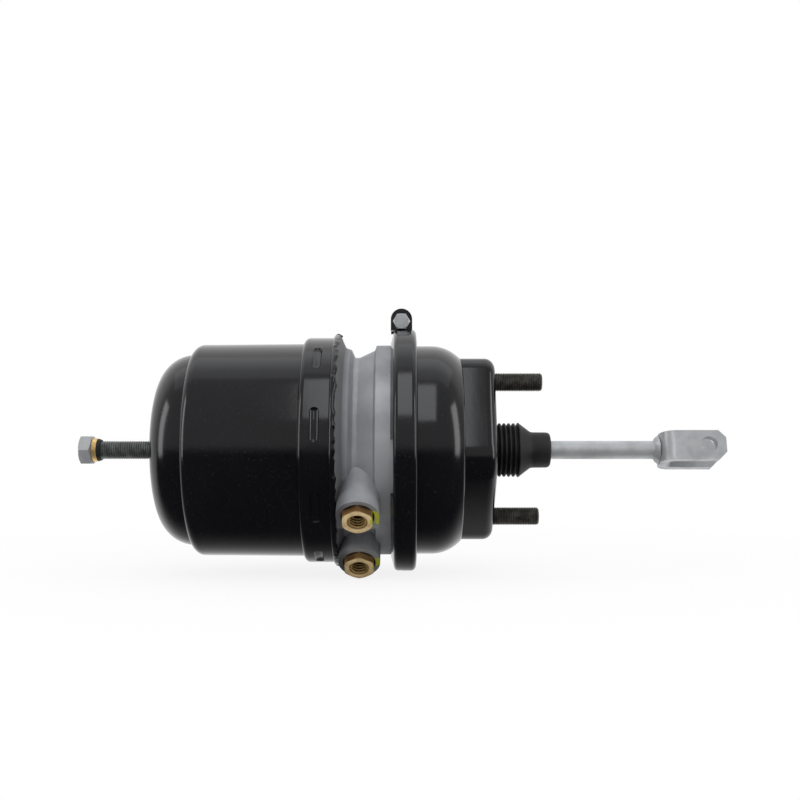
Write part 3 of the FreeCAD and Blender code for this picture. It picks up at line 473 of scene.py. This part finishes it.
BLACK_PAINT = gloss_black_paint()
ALUMINIUM = cast_aluminium()
BRASS = turned_brass("turned_brass", (0.80, 0.56, 0.22), (0.50, 0.32, 0.12), 0.7, 0.26)
# Painted shade: very dark brown brass for the lining that darkens the thread roots inside the port bores.
PAINTED_SHADE_BRASS = turned_brass("painted_shade_brass", (0.16, 0.085, 0.025), (0.06, 0.03, 0.01), 0.6, 0.40)
# Port fitting brass with a painted highlight on its face and painted shade on its flats.
BRASS_PAINTED_FACE_LIGHT = brass_painted_face_light()
ZINC = zinc_plate("zinc_plated_steel", (0.47, 0.48, 0.49), (0.36, 0.37, 0.38), 0.34)
BRIGHT_ZINC = zinc_plate("bright_zinc_clevis", (0.44, 0.45, 0.46), (0.33, 0.34, 0.35), 0.32)
STUD_STEEL = dark_thread("phosphated_studs", (0.105, 0.10, 0.088), (0.05, 0.047, 0.04), 0.44)
BOLT_STEEL = dark_thread("release_bolt_steel", (0.22, 0.23, 0.23), (0.12, 0.125, 0.125), 0.36)
SPRING_STEEL = dark_thread("spring_steel", (0.2, 0.2, 0.2), (0.1, 0.1, 0.1), 0.4)
RUBBER = black_rubber()
PLASTIC = guide_plastic()

NODE_FINISH = {
    "spring_housing": BLACK_PAINT, "front_housing": BLACK_PAINT, "clamp_ring": BLACK_PAINT,
    "centre_flange": ALUMINIUM, "spring_piston": ALUMINIUM,
    "port_fitting_parking": BRASS_PAINTED_FACE_LIGHT, "port_fitting_service": BRASS_PAINTED_FACE_LIGHT, "release_bolt_collar": BRASS,
    "port_seal_rings": RUBBER, "diaphragm": RUBBER, "tube_seal": RUBBER, "spigot_seal": RUBBER,
    "piston_seal": RUBBER, "release_bolt_seal": RUBBER, "push_rod_boot": RUBBER,
    "clamp_bolt": BRIGHT_ZINC, "clamp_nut": ZINC, "stud_backing_plate": STUD_STEEL, "mounting_studs": STUD_STEEL,
    "return_spring": SPRING_STEEL, "power_spring": SPRING_STEEL,
    "tube_bush": PLASTIC, "piston_guide_ring": PLASTIC,
    "tube_seal_retainer": ZINC, "release_bush": ZINC, "push_plate": ZINC, "socket_retainer": ZINC,
    "push_rod": ZINC, "clevis": BRIGHT_ZINC, "push_tube": ZINC, "tube_shoulder_ring": ZINC,
    "release_bolt": BOLT_STEEL, "release_bolt_disc": BOLT_STEEL, "release_bolt_hexagon": ZINC,
}
for name, node in nodes.items():
    node.data.materials.clear()
    node.data.materials.append(NODE_FINISH[name])


# Pieces

def mounting_studs():
    """Two threaded studs with their heads behind the backing plate."""
    both = bmesh.new()
    for side in (-1, 1):
        one = threaded_shaft(0.5, STUD_REACH, STUD_R, STUD_PITCH, 0.75, 0.0, 1.3)
        head = [(-13, 0), (-13, STUD_HEAD_R - 0.6), (-12.4, STUD_HEAD_R), (-8, STUD_HEAD_R)]
        shank = [(-8, STUD_R + 0.6), (0, STUD_R + 0.6), (0, STUD_R - 0.4), (0.6, STUD_R - 0.4), (0.6, 0)]
        joined(one, turned(head + shank, 64, False))
        bmesh.ops.translate(one, verts=one.verts, vec=STUD_LINE * (side * STUD_SPACING / 2 * MM))
        joined(both, one)
    piece = finish_piece("threaded_studs", both, STUD_STEEL, "housing", 25.0)
    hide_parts("mounting_studs")


def release_bolt():
    """The release bolt's threaded shaft, with its neck through the disc and the riveted end."""
    low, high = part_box("release_bolt")
    end = high[0] / MM
    disc = end - 8.5
    shaft = threaded_shaft(low[0] / MM, disc - 0.05, BOLT_R, BOLT_PITCH, 0.95, 0.0, 0.0)
    neck = [(disc - 1.0, 0), (disc - 1.0, BOLT_NECK_R), (disc + 6.05, BOLT_NECK_R)]
    rivet = [(disc + 6.05, 7.5), (end - 0.4, 7.1), (end, 6.6), (end, 0)]
    joined(shaft, turned(neck + rivet, 64, False))
    piece = finish_piece("release_bolt_thread", shaft, BOLT_STEEL, "release_bolt", 25.0)
    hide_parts("release_bolt")


def push_rod_boot():
    """Rubber bellows with round ridges and deep folds, a cone and a sleeve on the rod."""
    outside = [(0.0, BOOT_R + 0.1), (1.9, BOOT_R), (2.4, BOOT_R - 0.5)]
    inside = [(-8.0, 18.0)]
    for i in range(4):
        x = 3.3 + FOLD_PITCH * i
        outside += [(x, 21.4), (x + 0.4, 21.2), (x + 0.8, 22.4), (x + 1.3, BOOT_R - 0.5), (x + 2.0, BOOT_R)]
        outside += [(x + 2.8, 23.6), (x + 3.5, 22.6)]
        inside += [(x + 0.3, 17.8), (x + 2.1, 21.4)]
    outside += [(19.5, 21.4), (20.2, 21.2), (20.7, 22.8), (21.4, 24.1), (22.2, 24.0), (23.6, 22.8)]
    outside += [(32.0, 16.4), (33.4, 15.9), (35.0, 15.7), (46.5, 15.6), (48.6, 15.1), (49.7, 13.9)]
    outside += [(BOOT_END, 12.4), (BOOT_END, 8.35)]
    outside += [(49.4, 8.3), (32.0, 8.3), (22.4, 16.9), (21.4, 17.8)]
    bead = [(-8.0, 27.1), (-7.5, 27.7), (-4.8, 27.7), (-4.3, 27.1), (-4.3, 23.9)]
    outline = outside + list(reversed(inside)) + bead
    piece = finish_piece("boot_bellows", turned(outline), RUBBER, None, 50.0)
    smooth = piece.modifiers.new("soft_edges", "BEVEL")
    smooth.width = 0.00015
    smooth.segments = 2
    smooth.limit_method = "ANGLE"
    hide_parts("push_rod_boot")
    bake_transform(piece)


def clevis_weld():
    """The uneven weld bead between the rod's end and the fork."""
    bm = turned([(141.6, 8.0), (142.2, 9.2), (143.4, 10.4), (144.6, 11.3), (145.6, 11.8), (146.1, 11.6),
                 (146.1, 7.0)], 72)
    rng = random.Random(4)
    waves = 24
    ripple = [rng.uniform(-0.25, 0.25) for _ in range(waves)]
    for vert in bm.verts:
        reach = math.hypot(vert.co.y, vert.co.z)
        if reach > 8.2 * MM:
            turn = math.atan2(vert.co.z, vert.co.y) / math.tau * waves
            low = math.floor(turn) % waves
            part = turn - math.floor(turn)
            swell = 1.0 + (ripple[low] * (1 - part) + ripple[(low + 1) % waves] * part) * 0.35
            vert.co.y *= swell
            vert.co.z *= swell
    piece = finish_piece("clevis_weld", bm, ZINC, "push_rod", 60.0)


def crimped_lip():
    """The housing's ragged edge, hammered down over the flange's rim."""
    start = -139.6
    bm = turned([(start, 98.0), (-139.3, 99.4), (-138.4, 100.7), (-137.0, 101.3), (-135.4, 101.3), (-134.2, 101.0),
                 (-133.8, 100.55), (-136.5, 100.55), (-136.5, 96.2), (start, 96.2)], 360)
    rng = random.Random(11)
    waves = 150
    jag = [rng.uniform(-1.0, 1.0) for _ in range(waves)]
    for vert in bm.verts:
        reach = math.hypot(vert.co.y, vert.co.z)
        on_rim = reach < 100.52 * MM and vert.co.x > -137.0 * MM
        if on_rim or reach < 97.0 * MM:
            continue
        turn = (math.atan2(vert.co.z, vert.co.y) / math.tau * waves) % waves
        part = turn - math.floor(turn)
        swell = jag[int(turn) % waves] * (1 - part) + jag[(int(turn) + 1) % waves] * part
        staked = 1.0 if turn % 10.0 < 0.8 else 0.0
        edge = min(max((vert.co.x / MM - start) / 4.0, 0.0), 1.0)
        grow = 1.0 + (0.3 + 0.35 * swell + 0.9 * staked) * edge / 98.0
        vert.co.y *= grow
        vert.co.z *= grow
        vert.co.x += 0.9 * swell * edge * MM
    piece = finish_piece("crimped_lip", bm, BLACK_PAINT, "housing", 40.0)


def port_threads():
    """Thread ridges inside the two brass port fittings, over a very dark brass lining that paints the shade in the
    thread roots.
    """
    turn = Vector((1, 0, 0)).rotation_difference(PORT_OUT).to_matrix()
    ridge = [(-0.9, 7.3), (-0.15, 6.25), (0.15, 6.25), (0.9, 7.3)]
    lining = [(-13.0, 7.3), (-13.0, 7.0), (0.0, 7.0), (0.0, 7.3)]
    for name, outline, distances, material in (
            ("port_threads", ridge, (110.4, 107.6, 104.8, 102.0), BRASS),
            ("port_thread_root_shade", lining, (111.0,), PAINTED_SHADE_BRASS)):
        both = bmesh.new()
        for offset in (-PORT_OFFSET, PORT_OFFSET):
            for distance in distances:
                ring = turned(outline, 64)
                bmesh.ops.rotate(ring, verts=ring.verts, cent=(0, 0, 0), matrix=turn)
                bmesh.ops.translate(ring, verts=ring.verts, vec=port_place(PORT_X, offset, distance))
                joined(both, ring)
        piece = finish_piece(name, both, material, "housing", 30.0)


def rounded(corners, steps=10):
    """Points of an outline whose corners (x, r, radius) are rounded with arcs."""
    points = []
    for before, corner, after in zip(corners[-1:] + corners[:-1], corners, corners[1:] + corners[:1]):
        middle = Vector(corner[:2])
        to_before = (Vector(before[:2]) - middle).normalized()
        to_after = (Vector(after[:2]) - middle).normalized()
        half = to_before.angle(to_after) / 2
        if corner[2] == 0:
            points.append(tuple(middle))
            continue
        centre = middle + (to_before + to_after).normalized() * (corner[2] / math.sin(half))
        start = middle + to_before * (corner[2] / math.tan(half)) - centre
        end = middle + to_after * (corner[2] / math.tan(half)) - centre
        for step in range(steps + 1):
            arm = start.lerp(end, step / steps).normalized() * corner[2]
            points.append(tuple(centre + arm))
    return points


def front_bowl():
    """The pressed front housing up to the mounting pad."""
    wall = BOWL_R - SHEET
    outside = [(BOWL_BACK, BOWL_BEAD_R, 0.5), (BOWL_BACK + 2.0, BOWL_BEAD_R, 0.5), (-73.2, BOWL_R, 0.6),
               (-42.5, BOWL_R, 34.0), (BOWL_FRONT, 80.0, 5.0), (BOWL_FRONT, 40.0, 0)]
    inside = [(BOWL_FRONT - SHEET, 40.0, 0), (BOWL_FRONT - SHEET, 78.0, 3.0), (-44.0, wall, 31.0),
              (BOWL_BACK, wall, 0)]
    piece = finish_piece("front_bowl", turned(rounded(outside + inside), BOWL_STEPS), BLACK_PAINT, "housing", 40.0)
    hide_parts("front_housing")


def pad_outline(inset):
    """Points (along, across) of a lozenge on the stud line, 162 mm by 116 mm, with round ends and sides."""
    points = []
    reach = math.hypot(PAD_SIDE_OFFSET, PAD_END_OFFSET)
    lean = math.atan2(PAD_SIDE_OFFSET, PAD_END_OFFSET) + math.asin((PAD_SIDE_R - PAD_END_R) / reach)
    quarter = math.pi / 2
    for u, v, radius, start, turn in (
            (0, PAD_SIDE_OFFSET, PAD_SIDE_R, quarter - lean, 2 * lean),
            (-PAD_END_OFFSET, 0, PAD_END_R, quarter + lean, math.pi - 2 * lean),
            (0, -PAD_SIDE_OFFSET, PAD_SIDE_R, 3 * quarter - lean, 2 * lean),
            (PAD_END_OFFSET, 0, PAD_END_R, 3 * quarter + lean, math.pi - 2 * lean)):
        for step in range(25):
            angle = start + turn * step / 24
            points.append((u + (radius - inset) * math.cos(angle), v + (radius - inset) * math.sin(angle)))
    return points


def lozenge(sections):
    """A solid extruded through (x, inset, hole) outlines; a hole radius makes that outline a circle."""
    bm = bmesh.new()
    outlines = []
    for x, inset, hole in sections:
        points = []
        for u, v in pad_outline(inset):
            scale = hole / math.hypot(u, v) if hole else 1.0
            points.append((Vector((x, 0, 0)) + (STUD_LINE * u + ACROSS_STUDS * v) * scale) * MM)
        outlines.append(points)
    verts = [bm.verts.new(point) for point in outlines[0]]
    edges = [bm.edges.new(pair) for pair in zip(verts, verts[1:] + verts[:1])]
    for points in outlines[1:] + outlines[:1]:
        made = bmesh.ops.extrude_edge_only(bm, edges=edges)["geom"]
        fresh = {item for item in made if isinstance(item, bmesh.types.BMVert)}
        edges = [item for item in made if isinstance(item, bmesh.types.BMEdge) and fresh.issuperset(item.verts)]
        verts = [next(edge.other_vert(vert) for edge in vert.link_edges if edge.other_vert(vert) in fresh)
                 for vert in verts]
        for vert, point in zip(verts, points):
            vert.co = point
    return bm


def rounded_edge(radius, steps):
    """Sections of the pad's front edge, from its side to its flat, at one radius about the edge's centre."""
    turns = [math.pi / 2 * step / steps for step in range(steps + 1)]
    return [(radius * math.sin(turn) - PAD_EDGE_R, PAD_EDGE_R - radius * math.cos(turn), 0) for turn in turns]


def mounting_pad():
    """The raised lozenge pad that carries the studs, hollow behind, and the plate that stiffens it."""
    outside = rounded_edge(PAD_EDGE_R, 12)
    inside = rounded_edge(PAD_EDGE_R - SHEET, 8)
    sections = [(-PAD_DEPTH, SHEET, 0), (-PAD_DEPTH, 0, 0)] + outside + [(0, 0, ROD_HOLE_R), (-SHEET, 0, ROD_HOLE_R)]
    sections += list(reversed(inside))
    pad = finish_piece("mounting_pad", lozenge(sections), BLACK_PAINT, "housing", 30.0)
    plate = lozenge([(-8, 7.5, 0), (-4, 7.5, 0), (-4, 0, 30.2), (-8, 0, 30.2)])
    plate = finish_piece("pad_stiffener", plate, STUD_STEEL, "housing", 30.0)
    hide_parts("stud_backing_plate")


def clamp_skirt():
    """Outer edge of the clamp band on the side of the bowl, where the band is broader than its V."""
    outline = [(-80.0, BAND_R, 0), (-68.7, BAND_R, 4.6), (-67.9, 97.0, 0.7), (-69.5, 97.0, 0.7), (-70.5, 104.2, 3.0),
               (-80.0, 104.2, 0)]
    piece = finish_piece("clamp_skirt", turned(rounded(outline), BOWL_STEPS), BLACK_PAINT, "housing", 40.0)


mounting_studs()
release_bolt()
push_rod_boot()
clevis_weld()
crimped_lip()
port_threads()
front_bowl()
mounting_pad()
clamp_skirt()


# Studio

def pale_surface(name, colour, near_lift):
    """Pale floor, white from a little way off; gloss sees it dark on the side in front of the object."""
    material = bpy.data.materials.new(name)
    material.use_nodes = True
    tree = material.node_tree
    tree.nodes.clear()
    diffuse = tree.nodes.new("ShaderNodeBsdfDiffuse")
    diffuse.inputs["Color"].default_value = (*colour, 1.0)
    glow = tree.nodes.new("ShaderNodeEmission")
    glow.inputs["Color"].default_value = (1.0, 1.0, 1.0, 1.0)
    rays = tree.nodes.new("ShaderNodeLightPath")
    place = tree.nodes.new("ShaderNodeTexCoord")
    split = tree.nodes.new("ShaderNodeSeparateXYZ")
    tree.links.new(place.outputs["Object"], split.inputs["Vector"])
    away = tree.nodes.new("ShaderNodeVectorMath")
    away.operation = "DISTANCE"
    tree.links.new(place.outputs["Object"], away.inputs[0])
    away.inputs[1].default_value = (-0.08, 0.0, -0.108)
    lift = map_range(tree, away.outputs["Value"], 0.30, 0.75, near_lift, 1.0)
    gloss = math_node(tree, "ADD", rays.outputs["Is Glossy Ray"], rays.outputs["Is Transmission Ray"])
    gloss = math_node(tree, "MULTIPLY", gloss, 0.97)
    amount = math_node(tree, "ADD", math_node(tree, "MULTIPLY", rays.outputs["Is Camera Ray"], lift), gloss)
    bright = map_range(tree, split.outputs["Y"], -0.062, 0.035, 0.05, 1.0)
    strength = math_node(tree, "MAXIMUM", bright, rays.outputs["Is Camera Ray"])
    mix = tree.nodes.new("ShaderNodeMixShader")
    out = tree.nodes.new("ShaderNodeOutputMaterial")
    link = tree.links.new
    link(strength, glow.inputs["Strength"])
    link(amount, mix.inputs["Fac"])
    link(diffuse.outputs["BSDF"], mix.inputs[1])
    link(glow.outputs["Emission"], mix.inputs[2])
    link(mix.outputs["Shader"], out.inputs["Surface"])
    return material


def floor():
    """A wide plain floor just under the object."""
    bm = bmesh.new()
    bmesh.ops.create_grid(bm, x_segments=1, y_segments=1, size=4.0)
    low = min(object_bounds()[0][2], cad_box[0][2])
    bmesh.ops.translate(bm, verts=bm.verts, vec=(-0.08, 2.2, low - 0.0005))
    mesh = bpy.data.meshes.new("studio_floor")
    bm.to_mesh(mesh)
    bm.free()
    plane = bpy.data.objects.new("studio_floor", mesh)
    bpy.context.scene.collection.objects.link(plane)
    mesh.materials.append(pale_surface("floor_white", (0.86, 0.86, 0.86), 0.86))
    plane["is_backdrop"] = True


def softbox(name, place, aim, width, height, power, colour=(1.0, 1.0, 1.0)):
    """A rectangular lamp turned towards a point."""
    light = bpy.data.lights.new(name, "AREA")
    light.shape = "RECTANGLE"
    light.size = width
    light.size_y = height
    light.energy = power
    light.color = colour
    lamp = bpy.data.objects.new(name, light)
    bpy.context.scene.collection.objects.link(lamp)
    lamp.location = place
    lamp.rotation_euler = (Vector(aim) - Vector(place)).to_track_quat("-Z", "Y").to_euler()
    return lamp


def room():
    """White behind the object; on the other side a dim upper half over a dark lower half."""
    world = bpy.data.worlds.new("studio_room")
    bpy.context.scene.world = world
    world.use_nodes = True
    tree = world.node_tree
    tree.nodes.clear()
    way = tree.nodes.new("ShaderNodeTexCoord")
    split = tree.nodes.new("ShaderNodeSeparateXYZ")
    tree.links.new(way.outputs["Generated"], split.inputs["Vector"])
    behind = map_range(tree, split.outputs["Y"], -0.28, 0.32, 0.0, 1.0)
    front = map_range(tree, split.outputs["Z"], -0.05, 0.10, 0.15, 0.62)
    background = tree.nodes.new("ShaderNodeBackground")
    background.inputs["Color"].default_value = (1.0, 1.0, 1.0, 1.0)
    rays = tree.nodes.new("ShaderNodeLightPath")
    level = math_node(tree, "MAXIMUM", math_node(tree, "MAXIMUM", behind, front), rays.outputs["Is Camera Ray"])
    out = tree.nodes.new("ShaderNodeOutputWorld")
    tree.links.new(level, background.inputs["Strength"])
    tree.links.new(background.outputs["Background"], out.inputs["Surface"])


def camera():
    """Level view from -Y, as in the photograph."""
    data = bpy.data.cameras.new("camera")
    data.sensor_width = 36.0
    data.lens = 48.6
    data.shift_y = 0.0625
    data.clip_end = 50.0
    eye = bpy.data.objects.new("camera", data)
    eye.location = (-0.0823, -0.956, 0.0)
    eye.rotation_euler = (math.radians(90.0), 0.0, 0.0)
    bpy.context.scene.collection.objects.link(eye)
    bpy.context.scene.camera = eye


floor()
room()
camera()
softbox("top_softbox", (-0.1, 0.15, 1.25), (-0.1, 0.0, 0.0), 1.8, 0.8, 2.0, (0.93, 0.96, 1.0))
softbox("front_softbox", (-0.09, -0.66, 0.82), (-0.09, 0.0, 0.02), 0.34, 0.8, 2.2, (0.96, 0.98, 1.0))
softbox("left_strip", (-1.3, -0.35, 0.25), (-0.3, 0.0, 0.0), 0.35, 1.2, 5.0)
softbox("right_strip", (1.2, -0.5, 0.35), (0.1, 0.0, 0.0), 0.4, 1.2, 6.0)

bpy.context.scene.view_settings.view_transform = "Standard"
